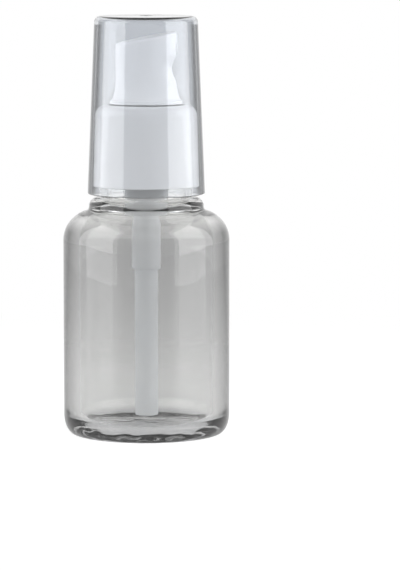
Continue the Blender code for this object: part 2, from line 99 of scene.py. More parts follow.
def turnedShape(outline, steps=roundSteps, closed=True):
    # The outline, in millimetres, is spun about Z; its ends on the axis close by themselves
    shape = bmesh.new()
    verts = [shape.verts.new((r * mm, 0, z * mm)) for r, z in outline]
    ends = verts[1:] + verts[:1] if closed else verts[1:]
    for a, b in zip(verts, ends):
        shape.edges.new((a, b))
    bmesh.ops.spin(shape, geom=shape.verts[:] + shape.edges[:], cent=(0, 0, 0), axis=(0, 0, 1),
                   dvec=(0, 0, 0), angle=math.tau, steps=steps, use_merge=True)
    bmesh.ops.remove_doubles(shape, verts=shape.verts, dist=0.002 * mm)
    bmesh.ops.dissolve_degenerate(shape, edges=shape.edges, dist=0.001 * mm)
    bmesh.ops.recalc_face_normals(shape, faces=shape.faces)
    return shape


def finishPiece(shape, name, material, body, nodeName, sharp=50):
    mesh = bpy.data.meshes.new(name)
    shape.to_mesh(mesh)
    shape.free()
    mesh.shade_smooth()
    mesh.set_sharp_from_angle(angle=math.radians(sharp))
    piece = bpy.data.objects.new(name, mesh)
    bpy.context.scene.collection.objects.link(piece)
    piece.data.materials.append(material)
    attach(piece, body)
    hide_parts(nodeName)
    print(name, len(mesh.polygons), "faces")
    return piece


def threadRise(angle, height, thread):
    # How far the ridge stands out at this angle (radians) and height, its ends fading away
    rise = 0
    turns = angle
    while turns < thread["start"]:
        turns += math.tau
    while turns <= thread["end"]:
        middle = thread["endHeight"] - thread["pitch"] * (thread["end"] - turns) / math.tau
        away = abs(height - middle)
        if away < thread["footWidth"] / 2:
            slope = (thread["footWidth"] / 2 - away) / ((thread["footWidth"] - thread["crestWidth"]) / 2)
            slope = min(1, slope)
            fromEnd = min(turns - thread["start"], thread["end"] - turns)
            fade = min(1, fromEnd / thread["fade"])
            rise = max(rise, slope * slope * (3 - 2 * slope) * math.sin(fade * math.pi / 2))
        turns += math.tau
    return rise * thread["depth"]


# Finishes

def nodeGroup(name, inputs, outputs):
    group = bpy.data.node_groups.new(name, "ShaderNodeTree")
    for label, kind, value in inputs:
        socket = group.interface.new_socket(label, in_out="INPUT", socket_type=kind)
        socket.default_value = value
    for label, kind in outputs:
        group.interface.new_socket(label, in_out="OUTPUT", socket_type=kind)
    return group, group.nodes.new("NodeGroupInput"), group.nodes.new("NodeGroupOutput")


def mouldedSkinGroup():
    # Moulded plastic: faint cloudy colour, uneven gloss and a fine grain
    group, given, out = nodeGroup("mouldedSkin", [
        ("Base", "NodeSocketColor", (0.8, 0.8, 0.8, 1)),
        ("Shade", "NodeSocketColor", (0.75, 0.75, 0.75, 1)),
        ("Cloud Scale", "NodeSocketFloat", 90),
        ("Grain Scale", "NodeSocketFloat", 1500),
        ("Gloss", "NodeSocketFloat", 0.25),
        ("Gloss Range", "NodeSocketFloat", 0.08),
        ("Grain Height", "NodeSocketFloat", 0.02),
    ], [("Color", "NodeSocketColor"), ("Roughness", "NodeSocketFloat"), ("Normal", "NodeSocketVector")])
    nodes, links = group.nodes, group.links
    place = nodes.new("ShaderNodeTexCoord")
    cloud = nodes.new("ShaderNodeTexNoise")
    cloud.inputs["Detail"].default_value = 3
    grain = nodes.new("ShaderNodeTexNoise")
    grain.inputs["Detail"].default_value = 2
    tone = nodes.new("ShaderNodeMix")
    tone.data_type = "RGBA"
    spread = nodes.new("ShaderNodeMath")
    spread.operation = "MULTIPLY_ADD"
    bump = nodes.new("ShaderNodeBump")
    bump.inputs["Distance"].default_value = 0.05 * mm
    for texture, scale in ((cloud, "Cloud Scale"), (grain, "Grain Scale")):
        links.new(place.outputs["Object"], texture.inputs["Vector"])
        links.new(given.outputs[scale], texture.inputs["Scale"])
    links.new(cloud.outputs["Fac"], tone.inputs["Factor"])
    links.new(given.outputs["Base"], tone.inputs["A"])
    links.new(given.outputs["Shade"], tone.inputs["B"])
    links.new(tone.outputs["Result"], out.inputs["Color"])
    links.new(cloud.outputs["Fac"], spread.inputs[0])
    links.new(given.outputs["Gloss Range"], spread.inputs[1])
    links.new(given.outputs["Gloss"], spread.inputs[2])
    links.new(spread.outputs[0], out.inputs["Roughness"])
    links.new(grain.outputs["Fac"], bump.inputs["Height"])
    links.new(given.outputs["Grain Height"], bump.inputs["Strength"])
    links.new(bump.outputs["Normal"], out.inputs["Normal"])
    return group


def clearWallGroup():
    # Clear moulded wall: its tint changes with height, and slow waves run round it; the crown tint is painted
    # light, and the Side and Edge outputs steer a painted edge shade
    group, given, out = nodeGroup("clearWall", [
        ("Low Tint", "NodeSocketColor", (0.9, 0.9, 0.9, 1)),
        ("High Tint", "NodeSocketColor", (0.85, 0.85, 0.85, 1)),
        ("Low Height", "NodeSocketFloat", 0.0),
        ("High Height", "NodeSocketFloat", 0.05),
        ("Wave Scale", "NodeSocketFloat", 60),
        ("Wave Height", "NodeSocketFloat", 0.05),
        ("Foot Tint", "NodeSocketColor", (0.5, 0.5, 0.5, 1)),
        ("Foot Low", "NodeSocketFloat", -0.002),
        ("Foot High", "NodeSocketFloat", -0.001),
        ("Crown Painted Light Tint", "NodeSocketColor", (0.9, 0.9, 0.9, 1)),
        ("Crown Painted Light Low", "NodeSocketFloat", 1.0),
        ("Crown Painted Light High", "NodeSocketFloat", 1.1),
        ("Side Start", "NodeSocketFloat", 0.0),
        ("Side End", "NodeSocketFloat", 0.001),
        ("Side Top", "NodeSocketFloat", 1.0),
        ("Top Edge Shade", "NodeSocketFloat", 0.0),
    ], [("Color", "NodeSocketColor"), ("Roughness", "NodeSocketFloat"), ("Normal", "NodeSocketVector"),
        ("Side", "NodeSocketFloat"), ("Edge", "NodeSocketFloat")])
    nodes, links = group.nodes, group.links
    place = nodes.new("ShaderNodeTexCoord")
    axes = nodes.new("ShaderNodeSeparateXYZ")
    climb = nodes.new("ShaderNodeMapRange")
    climb.interpolation_type = "SMOOTHSTEP"
    wave = nodes.new("ShaderNodeTexNoise")
    wave.inputs["Detail"].default_value = 1
    tone = nodes.new("ShaderNodeMix")
    tone.data_type = "RGBA"
    haze = nodes.new("ShaderNodeMapRange")
    haze.inputs["To Min"].default_value = 0.0
    haze.inputs["To Max"].default_value = 0.035
    bump = nodes.new("ShaderNodeBump")
    bump.inputs["Distance"].default_value = 0.05 * mm
    links.new(place.outputs["Object"], axes.inputs[0])
    links.new(place.outputs["Object"], wave.inputs["Vector"])
    links.new(given.outputs["Wave Scale"], wave.inputs["Scale"])
    links.new(axes.outputs["Z"], climb.inputs["Value"])
    links.new(given.outputs["Low Height"], climb.inputs["From Min"])
    links.new(given.outputs["High Height"], climb.inputs["From Max"])
    links.new(climb.outputs["Result"], tone.inputs["Factor"])
    links.new(given.outputs["Low Tint"], tone.inputs["A"])
    links.new(given.outputs["High Tint"], tone.inputs["B"])
    links.new(wave.outputs["Fac"], haze.inputs["Value"])
    links.new(haze.outputs["Result"], out.inputs["Roughness"])
    links.new(wave.outputs["Fac"], bump.inputs["Height"])
    links.new(given.outputs["Wave Height"], bump.inputs["Strength"])
    links.new(bump.outputs["Normal"], out.inputs["Normal"])

    # The foot has its own darker tint; the crown (shoulder, ring and neck) has a lighter one, painted light
    # that brightens it where the collar shades it
    colour = tone.outputs["Result"]
    for part, lowShare, highShare in (("Foot", 1.0, 0.0), ("Crown Painted Light", 0.0, 1.0)):
        partReach = nodes.new("ShaderNodeMapRange")
        partReach.interpolation_type = "SMOOTHSTEP"
        partReach.inputs["To Min"].default_value = lowShare
        partReach.inputs["To Max"].default_value = highShare
        partTone = nodes.new("ShaderNodeMix")
        partTone.data_type = "RGBA"
        links.new(axes.outputs["Z"], partReach.inputs["Value"])
        links.new(given.outputs[part + " Low"], partReach.inputs["From Min"])
        links.new(given.outputs[part + " High"], partReach.inputs["From Max"])
        links.new(partReach.outputs["Result"], partTone.inputs["Factor"])
        links.new(colour, partTone.inputs["A"])
        links.new(given.outputs[part + " Tint"], partTone.inputs["B"])
        colour = partTone.outputs["Result"]
    links.new(colour, out.inputs["Color"])

    # Side is one on the outer side below Side Top, and nought nearer the axis or on top; the painted edge
    # shade falls only where Side is one
    flat = nodes.new("ShaderNodeCombineXYZ")
    reach = nodes.new("ShaderNodeVectorMath")
    reach.operation = "LENGTH"
    side = nodes.new("ShaderNodeMapRange")
    links.new(axes.outputs["X"], flat.inputs["X"])
    links.new(axes.outputs["Y"], flat.inputs["Y"])
    links.new(flat.outputs[0], reach.inputs[0])
    links.new(reach.outputs["Value"], side.inputs["Value"])
    links.new(given.outputs["Side Start"], side.inputs["From Min"])
    links.new(given.outputs["Side End"], side.inputs["From Max"])
    below = nodes.new("ShaderNodeMath")
    below.operation = "LESS_THAN"
    outer = nodes.new("ShaderNodeMath")
    outer.operation = "MULTIPLY"
    links.new(axes.outputs["Z"], below.inputs[0])
    links.new(given.outputs["Side Top"], below.inputs[1])
    links.new(side.outputs["Result"], outer.inputs[0])
    links.new(below.outputs[0], outer.inputs[1])
    links.new(outer.outputs[0], out.inputs["Side"])

    # Edge grows towards the top, which makes the painted edge shade darker there
    steep = nodes.new("ShaderNodeMath")
    steep.operation = "POWER"
    steep.inputs[1].default_value = 2.0
    gain = nodes.new("ShaderNodeMath")
    gain.operation = "MULTIPLY"
    links.new(climb.outputs["Result"], steep.inputs[0])
    links.new(steep.outputs[0], gain.inputs[0])
    links.new(given.outputs["Top Edge Shade"], gain.inputs[1])
    links.new(gain.outputs[0], out.inputs["Edge"])
    return group


mouldedSkin = mouldedSkinGroup()
clearWall = clearWallGroup()


def finishWith(name, group, settings, sockets):
    # One Principled shader fed by a group; sockets are the shader's own plain values
    material = bpy.data.materials.new(name)
    material.use_nodes = True
    nodes, links = material.node_tree.nodes, material.node_tree.links
    shader = nodes["Principled BSDF"]
    for label, value in sockets.items():
        shader.inputs[label].default_value = value
    skin = nodes.new("ShaderNodeGroup")
    skin.node_tree = group
    for label, value in settings.items():
        skin.inputs[label].default_value = value
    links.new(skin.outputs["Color"], shader.inputs["Base Color"])
    links.new(skin.outputs["Roughness"], shader.inputs["Roughness"])
    links.new(skin.outputs["Normal"], shader.inputs["Normal"])
    return material


def lampsPassThrough(material, tint):
    # Rays from the lamps go straight through the clear wall and reach what is behind it
    nodes, links = material.node_tree.nodes, material.node_tree.links
    shader = nodes["Principled BSDF"]
    output = nodes["Material Output"]
    rays = nodes.new("ShaderNodeLightPath")
    clear = nodes.new("ShaderNodeBsdfTransparent")
    clear.inputs["Color"].default_value = (*tint, 1)
    choose = nodes.new("ShaderNodeMixShader")
    links.new(rays.outputs["Is Shadow Ray"], choose.inputs[0])
    links.new(shader.outputs[0], choose.inputs[1])
    links.new(clear.outputs[0], choose.inputs[2])
    links.new(choose.outputs[0], output.inputs["Surface"])


def paintEdgeShade(material, edgeShadeTint, start, end):
    # Painted shade: seen edge on, the clear wall's colour is darkened nearly to black, far more than its
    # longer path through the wall would darken it
    nodes, links = material.node_tree.nodes, material.node_tree.links
    base = nodes["Principled BSDF"].inputs["Base Color"]
    facing = nodes.new("ShaderNodeLayerWeight")
    facing.inputs["Blend"].default_value = 0.5
    reach = nodes.new("ShaderNodeMapRange")
    reach.inputs["From Min"].default_value = start
    reach.inputs["From Max"].default_value = end
    tone = nodes.new("ShaderNodeMix")
    tone.data_type = "RGBA"
    tone.inputs["B"].default_value = (*edgeShadeTint, 1)
    outside = nodes.new("ShaderNodeMath")
    outside.operation = "MULTIPLY"
    skin = base.links[0].from_node
    edgeShadeAmount = nodes.new("ShaderNodeMath")
    links.new(facing.outputs["Facing"], edgeShadeAmount.inputs[0])
    links.new(skin.outputs["Edge"], edgeShadeAmount.inputs[1])
    links.new(edgeShadeAmount.outputs[0], reach.inputs["Value"])
    links.new(reach.outputs["Result"], outside.inputs[0])
    links.new(skin.outputs["Side"], outside.inputs[1])
    links.new(outside.outputs[0], tone.inputs["Factor"])
    links.new(skin.outputs["Color"], tone.inputs["A"])
    links.new(tone.outputs["Result"], base)


def darkenInside(material, colour, density):
    # Thick stretches of the wall look darker than thin ones
    nodes, links = material.node_tree.nodes, material.node_tree.links
    inside = nodes.new("ShaderNodeVolumeAbsorption")
    inside.inputs["Color"].default_value = (*colour, 1)
    inside.inputs["Density"].default_value = density
    links.new(inside.outputs[0], nodes["Material Output"].inputs["Volume"])


bottlePlastic = finishWith("clearPlastic", clearWall, {
    "Low Tint": (0.775, 0.777, 0.773, 1),
    "High Tint": (0.645, 0.647, 0.647, 1),
    "Low Height": 5 * mm,
    "High Height": 52 * mm,
    "Wave Scale": 70,
    "Wave Height": 0.6,
    "Side Start": 18.5 * mm,
    "Side End": 20.3 * mm,
    "Foot Tint": (0.40, 0.405, 0.413, 1),
    "Foot Low": 1.0 * mm,
    "Foot High": 3.6 * mm,
    # the crown tint below is painted light on the shoulder, ring and neck, which the collar shades
    "Crown Painted Light Tint": (0.92, 0.92, 0.91, 1),
    "Crown Painted Light Low": 48.5 * mm,
    "Crown Painted Light High": 56 * mm,
    # the top-edge setting below makes the painted edge shade stronger towards the top
    "Top Edge Shade": 0.13,
}, {"Transmission Weight": 1.0, "IOR": 1.57})
lampsPassThrough(bottlePlastic, (0.86, 0.86, 0.86))
darkenInside(bottlePlastic, (0.5, 0.5, 0.49), 36)
# painted shade on the bottle's edges where they are seen edge on
paintEdgeShade(bottlePlastic, (0.05, 0.05, 0.05), 0.36, 0.76)

smokePlastic = finishWith("smokeClearPlastic", clearWall, {
    "Low Tint": (0.74, 0.755, 0.775, 1),
    "High Tint": (0.70, 0.72, 0.75, 1),
    "Low Height": 60 * mm,
    "High Height": 104 * mm,
    "Wave Scale": 90,
    "Wave Height": 0.05,
    "Side Top": 102.4 * mm,
}, {"Transmission Weight": 1.0, "IOR": 1.49})
lampsPassThrough(smokePlastic, (0.99, 0.99, 0.995))
# painted shade on the overcap's edges where they are seen edge on
paintEdgeShade(smokePlastic, (0.02, 0.022, 0.025), 0.45, 0.70)

whitePlastic = finishWith("whitePlastic", mouldedSkin, {
    "Base": (0.90, 0.90, 0.905, 1),
    "Shade": (0.87, 0.873, 0.88, 1),
    "Gloss": 0.40,
    "Gloss Range": 0.14,
    "Grain Height": 0.05,
}, {"IOR": 1.49})

milkyPlastic = finishWith("milkyPlastic", mouldedSkin, {
    "Base": (0.90, 0.91, 0.92, 1),
    "Shade": (0.84, 0.86, 0.885, 1),
    "Gloss": 0.40,
    "Gloss Range": 0.12,
    "Grain Height": 0.05,
}, {"IOR": 1.51, "Transmission Weight": 0.35})
lampsPassThrough(milkyPlastic, (0.84, 0.845, 0.855))

foamFinish = finishWith("foamLiner", mouldedSkin, {
    "Base": (0.86, 0.86, 0.84, 1),
    "Shade": (0.70, 0.70, 0.68, 1),
    "Cloud Scale": 900,
    "Grain Scale": 2600,
    "Gloss": 0.7,
    "Gloss Range": 0.2,
    "Grain Height": 0.6,
}, {"IOR": 1.45})

wireFinish = finishWith("springSteel", mouldedSkin, {
    "Base": (0.66, 0.66, 0.67, 1),
    "Shade": (0.50, 0.50, 0.52, 1),
    "Cloud Scale": 400,
    "Grain Scale": 4000,
    "Gloss": 0.16,
    "Gloss Range": 0.15,
    "Grain Height": 0.1,
}, {"Metallic": 1.0})

glassBallFinish = finishWith("ballGlass", clearWall, {
    "Low Tint": (0.93, 0.96, 0.95, 1),
    "High Tint": (0.90, 0.94, 0.93, 1),
    "Low Height": 86 * mm,
    "High Height": 91 * mm,
    "Wave Scale": 300,
    "Wave Height": 0.02,
}, {"Transmission Weight": 1.0, "IOR": 1.52})
print("finishes ready")


# Bottle: heavy clear wall, threaded neck, rolled ring above the shoulder

bottle = {
    "radius": 20.75, "wall": 4.1, "floor": 2.2, "floorRound": 4.4,
    "shoulderRound": 7.5, "shoulderTop": 56.1, "shoulderStart": 76,
    "ringRadius": 14.3, "ringTop": 59.2, "ringRound": 2.0, "ringFoot": 0.9,
    "ceiling": 50.64, "ceilingRound": 5.0, "throat": 57.7, "throatRound": 2.0,
    "neckRadius": 11.4, "bore": 9.6, "rimRound": 0.35, "rootRadius": 11.3, "stepHeight": 64.6,
    "lipRadius": 11.45, "lipHeight": 1.1, "lipRound": 0.75, "lipEdge": 0.12,
    "baseWidth": 2.5, "baseHeight": 4.8, "footInner": 13.05, "footEdge": 0.5,
    "pushUp": 0.6, "pushSlope": 1.0,
    "bumpRadius": 5.4, "bumpTop": 3.2, "bumpHeight": 0.6, "bumpRound": 1.2,
    "baseRipple": 0.22, "rippleLength": 2.8, "baseInside": 15.5, "rippleFade": 2.0,
    "rowSpacing": 0.14, "lugAngle": math.pi, "lugWidth": 0.75, "lugHeight": 1.1, "lugStand": 0.4,
}
neckThread = {
    "start": math.radians(237), "end": math.radians(644), "fade": math.radians(28),
    "pitch": 3.0, "depth": 0.7, "footWidth": 1.7, "crestWidth": 0.35,
    "endHeight": rimHeight - 2.2,
}


def bottleOutline(b):
    innerRadius = b["radius"] - b["wall"]
    lipFoot = rimHeight - b["lipHeight"]
    centre = (b["radius"] - b["shoulderRound"], b["shoulderTop"] - b["shoulderRound"])
    floorLine = denseLine((b["bumpRadius"] + 1.5, b["floor"]),
                          (innerRadius - b["floorRound"] - 0.5, b["floor"]), 1.0)
    points = softOutline([
        (0, b["floor"] + b["bumpHeight"]),
        (b["bumpTop"], b["floor"] + b["bumpHeight"], b["bumpRound"]),
        (b["bumpRadius"], b["floor"], b["bumpRound"]),
        *floorLine,
        (innerRadius, b["floor"], b["floorRound"]),
        (innerRadius, b["ceiling"], b["ceilingRound"]),
        (b["bore"], b["throat"], b["throatRound"]),
        (b["bore"], rimHeight, b["rimRound"]),
        (b["lipRadius"], rimHeight, b["lipRound"]),
        (b["lipRadius"], lipFoot, b["lipEdge"]),
        (b["rootRadius"], lipFoot - 0.25),
    ], closed=False, stepAngle=7)
    points += denseLine((b["rootRadius"], lipFoot - 0.3),
                        (b["rootRadius"], b["stepHeight"]), b["rowSpacing"])
    points += denseLine((b["neckRadius"], b["stepHeight"] - 0.2),
                        (b["neckRadius"], b["stepHeight"] - 1.4), 0.2)
    points += softOutline([
        (b["neckRadius"], b["stepHeight"] - 2),
        (b["neckRadius"], b["ringTop"], 0.5),
        (b["ringRadius"], b["ringTop"], b["ringRound"]),
        (b["ringRadius"], b["shoulderTop"] + b["ringFoot"], 0.2),
        (b["ringRadius"] + 0.2, b["shoulderTop"] + 0.1),
    ], closed=False, stepAngle=6)
    points += arcPoints(centre, b["shoulderRound"], b["shoulderRound"], b["shoulderStart"], 0, 24)
    corner = (b["radius"] - b["baseWidth"], b["baseHeight"])
    points += arcPoints(corner, b["baseWidth"], b["baseHeight"], 0, -84, 14)
    points += softOutline([
        (corner[0] - 0.4, 0),
        (b["footInner"], 0, b["footEdge"]),
        (b["footInner"] - b["pushSlope"], b["pushUp"], b["footEdge"]),
        *denseLine((b["footInner"] - b["pushSlope"] - 1, b["pushUp"]), (0, b["pushUp"]), 1.2),
    ], closed=False)
    return points


def makeBottle():
    shape = turnedShape(bottleOutline(bottle), closed=False)
    low, high = bottle["stepHeight"] - 1.3, rimHeight - bottle["lipHeight"]
    for vert in shape.verts:
        height = vert.co.z / mm
        radius = math.hypot(vert.co.x, vert.co.y) / mm
        if radius < bottle["rootRadius"] - 1 or not low < height < high:
            continue
        angle = math.atan2(vert.co.y, vert.co.x) % math.tau
        rise = threadRise(angle, height, neckThread) if height > bottle["stepHeight"] else 0
        aside = radius * (angle - bottle["lugAngle"]) / bottle["lugWidth"]
        above = (height - bottle["stepHeight"]) / bottle["lugHeight"] * 2
        if abs(aside) < 1 and abs(above) < 1:  # the small stop lug on the left
            rise = max(rise, bottle["lugStand"] * (1 - aside ** 4) * (1 - above ** 4))
        vert.co.x *= 1 + rise / radius
        vert.co.y *= 1 + rise / radius
    for vert in shape.verts:  # the moulded base is never quite flat
        height = vert.co.z / mm
        radius = math.hypot(vert.co.x, vert.co.y) / mm
        inside = min(1, max(0, (bottle["baseInside"] - radius) / bottle["rippleFade"]))
        if 0.3 < height < bottle["floor"] + bottle["bumpHeight"] + 0.1 and inside:
            ripple = noise.noise(vert.co / (bottle["rippleLength"] * mm))
            vert.co.z += ripple * bottle["baseRipple"] * inside * mm
    return finishPiece(shape, "clearBottle", bottlePlastic, "bottle_body", "bottle")


makeBottle()


# Liner, housing and dip tube

liner = {"outer": 11.2, "inner": 8.7, "low": 76.2, "high": 77.0, "round": 0.2}
housing = {
    "flange": 11.2, "flangeLow": 77.2, "flangeHigh": 78.0, "cup": 8.4, "cupLow": 70.4, "cupWall": 0.9,
    "chamber": 5.4, "chamberBore": 4.5, "chamberLow": 55.8, "tail": 3.6, "tailHeight": 10,
    "tailSlope": 2, "tube": 3.05, "tubeSeat": 0.2, "hole": 1.3, "holeHeight": 1.6, "cell": 2.5,
    "edge": 0.2, "fineEdge": 0.1, "softEdge": 0.8,
}
dipTube = {"radius": 2.9, "bore": 1.8, "endRound": 0.15, "boreEdge": 0.1}


def makeLiner(g):
    outline = softOutline([
        (g["outer"], g["high"], g["round"]), (g["outer"], g["low"], g["round"]),
        (g["inner"], g["low"], g["round"]), (g["inner"], g["high"], g["round"]),
    ])
    finishPiece(turnedShape(outline), "foamLiner", foamFinish, "liner_body", "gasket")


def makeHousing(h):
    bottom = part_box("housing")[0].z / mm
    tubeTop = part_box("dip_tube")[1].z / mm + h["tubeSeat"]
    tailTop = bottom + h["tailHeight"]
    cupFloor = h["cupLow"] + h["cupWall"]
    holeTop = tubeTop + h["holeHeight"]
    cell, edge, fine, soft = h["cell"], h["edge"], h["fineEdge"], h["softEdge"]
    outline = softOutline([
        (h["flange"], h["flangeHigh"], edge), (h["flange"], h["flangeLow"], edge),
        (h["cup"], h["flangeLow"], edge), (h["cup"], h["cupLow"], 0.6),
        (h["chamber"], h["cupLow"], 0.5), (h["chamber"], tailTop + h["tailSlope"], soft),
        (h["tail"], tailTop, soft), (h["tail"], bottom, edge),
        (h["tube"], bottom, edge), (h["tube"], tubeTop),
        (h["hole"], tubeTop, fine), (h["hole"], holeTop, fine),
        (cell, holeTop + cell - h["hole"], fine), (cell, h["chamberLow"], fine),
        (h["chamberBore"], h["chamberLow"], edge), (h["chamberBore"], cupFloor, edge),
        (h["cup"] - h["cupWall"], cupFloor, 0.4), (h["cup"] - h["cupWall"], h["flangeHigh"], edge),
    ])
    print("housing: the tube ends at", round(tubeTop, 2))
    finishPiece(turnedShape(outline, smallSteps), "pumpHousing", milkyPlastic, "engine_body",
                "housing")


def makeDipTube(t):
    low, high = (corner.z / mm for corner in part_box("dip_tube"))
    outline = softOutline([
        (t["radius"], high, t["endRound"]), (t["radius"], low, t["endRound"]),
        (t["bore"], low, t["boreEdge"]), (t["bore"], high, t["boreEdge"]),
    ])
    finishPiece(turnedShape(outline, smallSteps), "dipTube", milkyPlastic, "engine_body",
                "dip_tube")


makeLiner(liner)
makeHousing(housing)
makeDipTube(dipTube)


# Return spring: flat end coils and open coils between them

spring = {
    "wire": 0.7, "coil": 3.1, "endTurns": 0.75, "turns": 6, "stroke": 4.0,
    "wireSides": 12, "stepsPerTurn": 40,
}


def makeSpring(s):
    low, high = (corner.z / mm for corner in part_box("return_spring"))
    shape = bmesh.new()
    bmesh.ops.create_circle(shape, cap_ends=True, segments=s["wireSides"], radius=s["wire"] / 2 * mm)
    bmesh.ops.rotate(shape, cent=(0, 0, 0), matrix=Matrix.Rotation(math.pi / 2, 3, "X"), verts=shape.verts)
    bmesh.ops.translate(shape, vec=(s["coil"] * mm, 0, (low + s["wire"] / 2) * mm), verts=shape.verts)
    closeRise = s["wire"] * s["endTurns"]
    openRise = high - low - s["wire"] - closeRise * 2
    openTurns = s["turns"] - s["endTurns"] * 2
    section = shape.faces[:] + shape.edges[:] + shape.verts[:]
    for turns, rise in ((s["endTurns"], closeRise), (openTurns, openRise), (s["endTurns"], closeRise)):
        steps = round(turns * s["stepsPerTurn"])
        spun = bmesh.ops.spin(shape, geom=section, cent=(0, 0, 0), axis=(0, 0, 1),
                              dvec=(0, 0, rise / steps * mm), angle=math.tau * turns, steps=steps)
        section = spun["geom_last"]
    bmesh.ops.recalc_face_normals(shape, faces=shape.faces)
    piece = finishPiece(shape, "returnSpring", wireFinish, "engine_body", "return_spring")
    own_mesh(piece)


makeSpring(spring)


def makeBall(name, node, body, material):
    low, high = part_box(node)
    shape = bmesh.new()
    bmesh.ops.create_uvsphere(shape, u_segments=48, v_segments=24, radius=(high.z - low.z) / 2)
    bmesh.ops.translate(shape, vec=(0, 0, (low.z + high.z) / 2), verts=shape.verts)
    finishPiece(shape, name, material, body, node)


makeBall("inletBall", "inlet_ball", "inlet_ball_body", wireFinish)
makeBall("outletBall", "outlet_ball", "outlet_ball_body", glassBallFinish)


# Collar: screw cap of the pump, rounded top, smooth side

collar = {
    "low": pumpLow, "height": 20.3, "lowRadius": 13.15, "highRadius": 12.6, "topRound": 2.8,
    "hole": 9.3, "holeRound": 0.25, "rimRound": 0.3, "topWall": 1.2, "bore": 12.2, "boreRound": 0.2,
    "threadTopDrop": 1.1, "deckRadius": 11.5, "ringOuter": 10.4, "ringLow": 78.2, "ringEdge": 0.15,
}
collarThread = {
    "start": math.radians(150), "end": math.radians(520), "fade": math.radians(28),
    "pitch": neckThread["pitch"], "depth": 0.55, "footWidth": 1.6, "crestWidth": 0.4, "belowNeck": 1.5,
}


def makeCollar(c):
    top = c["low"] + c["height"]
    deck = top - c["topWall"]
    threadTop = rimHeight - c["threadTopDrop"]
    lip = c["holeRound"]
    outline = softOutline([
        (c["hole"], top, lip), (c["highRadius"], top, c["topRound"]),
        (c["lowRadius"], c["low"], c["rimRound"]), (c["bore"], c["low"], c["boreRound"]),
    ], closed=False, stepAngle=8)[1:-1]
    outline += [(c["bore"], c["low"] + c["boreRound"])]
    outline += denseLine((c["bore"], c["low"] + 0.4), (c["bore"], threadTop), 0.16)
    outline += softOutline([
        (c["bore"], threadTop + 0.1), (c["deckRadius"], threadTop + 0.7, 0.1),
        (c["deckRadius"], deck, 0.3), (c["ringOuter"], deck, 0.2),
        (c["ringOuter"], c["ringLow"], c["ringEdge"]), (c["hole"], c["ringLow"], c["ringEdge"]),
        (c["hole"], top - 0.3),
    ], closed=False)
    outline += arcPoints((c["hole"] + lip, top - lip), lip, lip, 180, 90, 3)
    shape = turnedShape(outline)
    lag = (neckThread["end"] - collarThread["end"]) / math.tau * collarThread["pitch"]
    collarThread["endHeight"] = neckThread["endHeight"] - collarThread["belowNeck"] - lag
    for vert in shape.verts:
        height = vert.co.z / mm
        radius = math.hypot(vert.co.x, vert.co.y) / mm
        if radius > c["bore"] + 0.05 or radius < c["bore"] - 0.05 or height > threadTop:
            continue
        angle = math.atan2(vert.co.y, vert.co.x) % math.tau
        rise = threadRise(angle, height, collarThread)
        vert.co.x *= 1 - rise / radius
        vert.co.y *= 1 - rise / radius
    finishPiece(shape, "screwCollar", whitePlastic, "collar_body", "collar")


makeCollar(collar)


# Actuator: flared foot, slanted finger pad, spout side drawn in under the nozzle

actuator = {
    "foot": 9.0, "low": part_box("actuator")[0].z / mm, "band": 0.9, "flareHeight": 5.0, "head": 7.6,
    "height": 16.4, "slope": math.radians(10.7), "padRound": 0.7, "wall": 0.8, "ceiling": 9.8,
    "hub": 3.6, "hubLow": 0.8, "socket": 2.6, "socketTop": 7.9, "duct": 0.8,
    "waist": 1.2, "waistHeight": 8.7, "waistReach": 3.9,
    "dish": ((0.92, 0), (0.85, 0.05), (0.7, 0.16), (0.45, 0.16), (0.2, 0.06)),
}
nozzle = {
    "level": 14.0, "radius": 2.0, "bore": 1.0, "depth": 2.4, "stand": 0.15, "orifice": 0.4,
    "face": 0.6, "play": 0.12, "seatLength": 5,
}


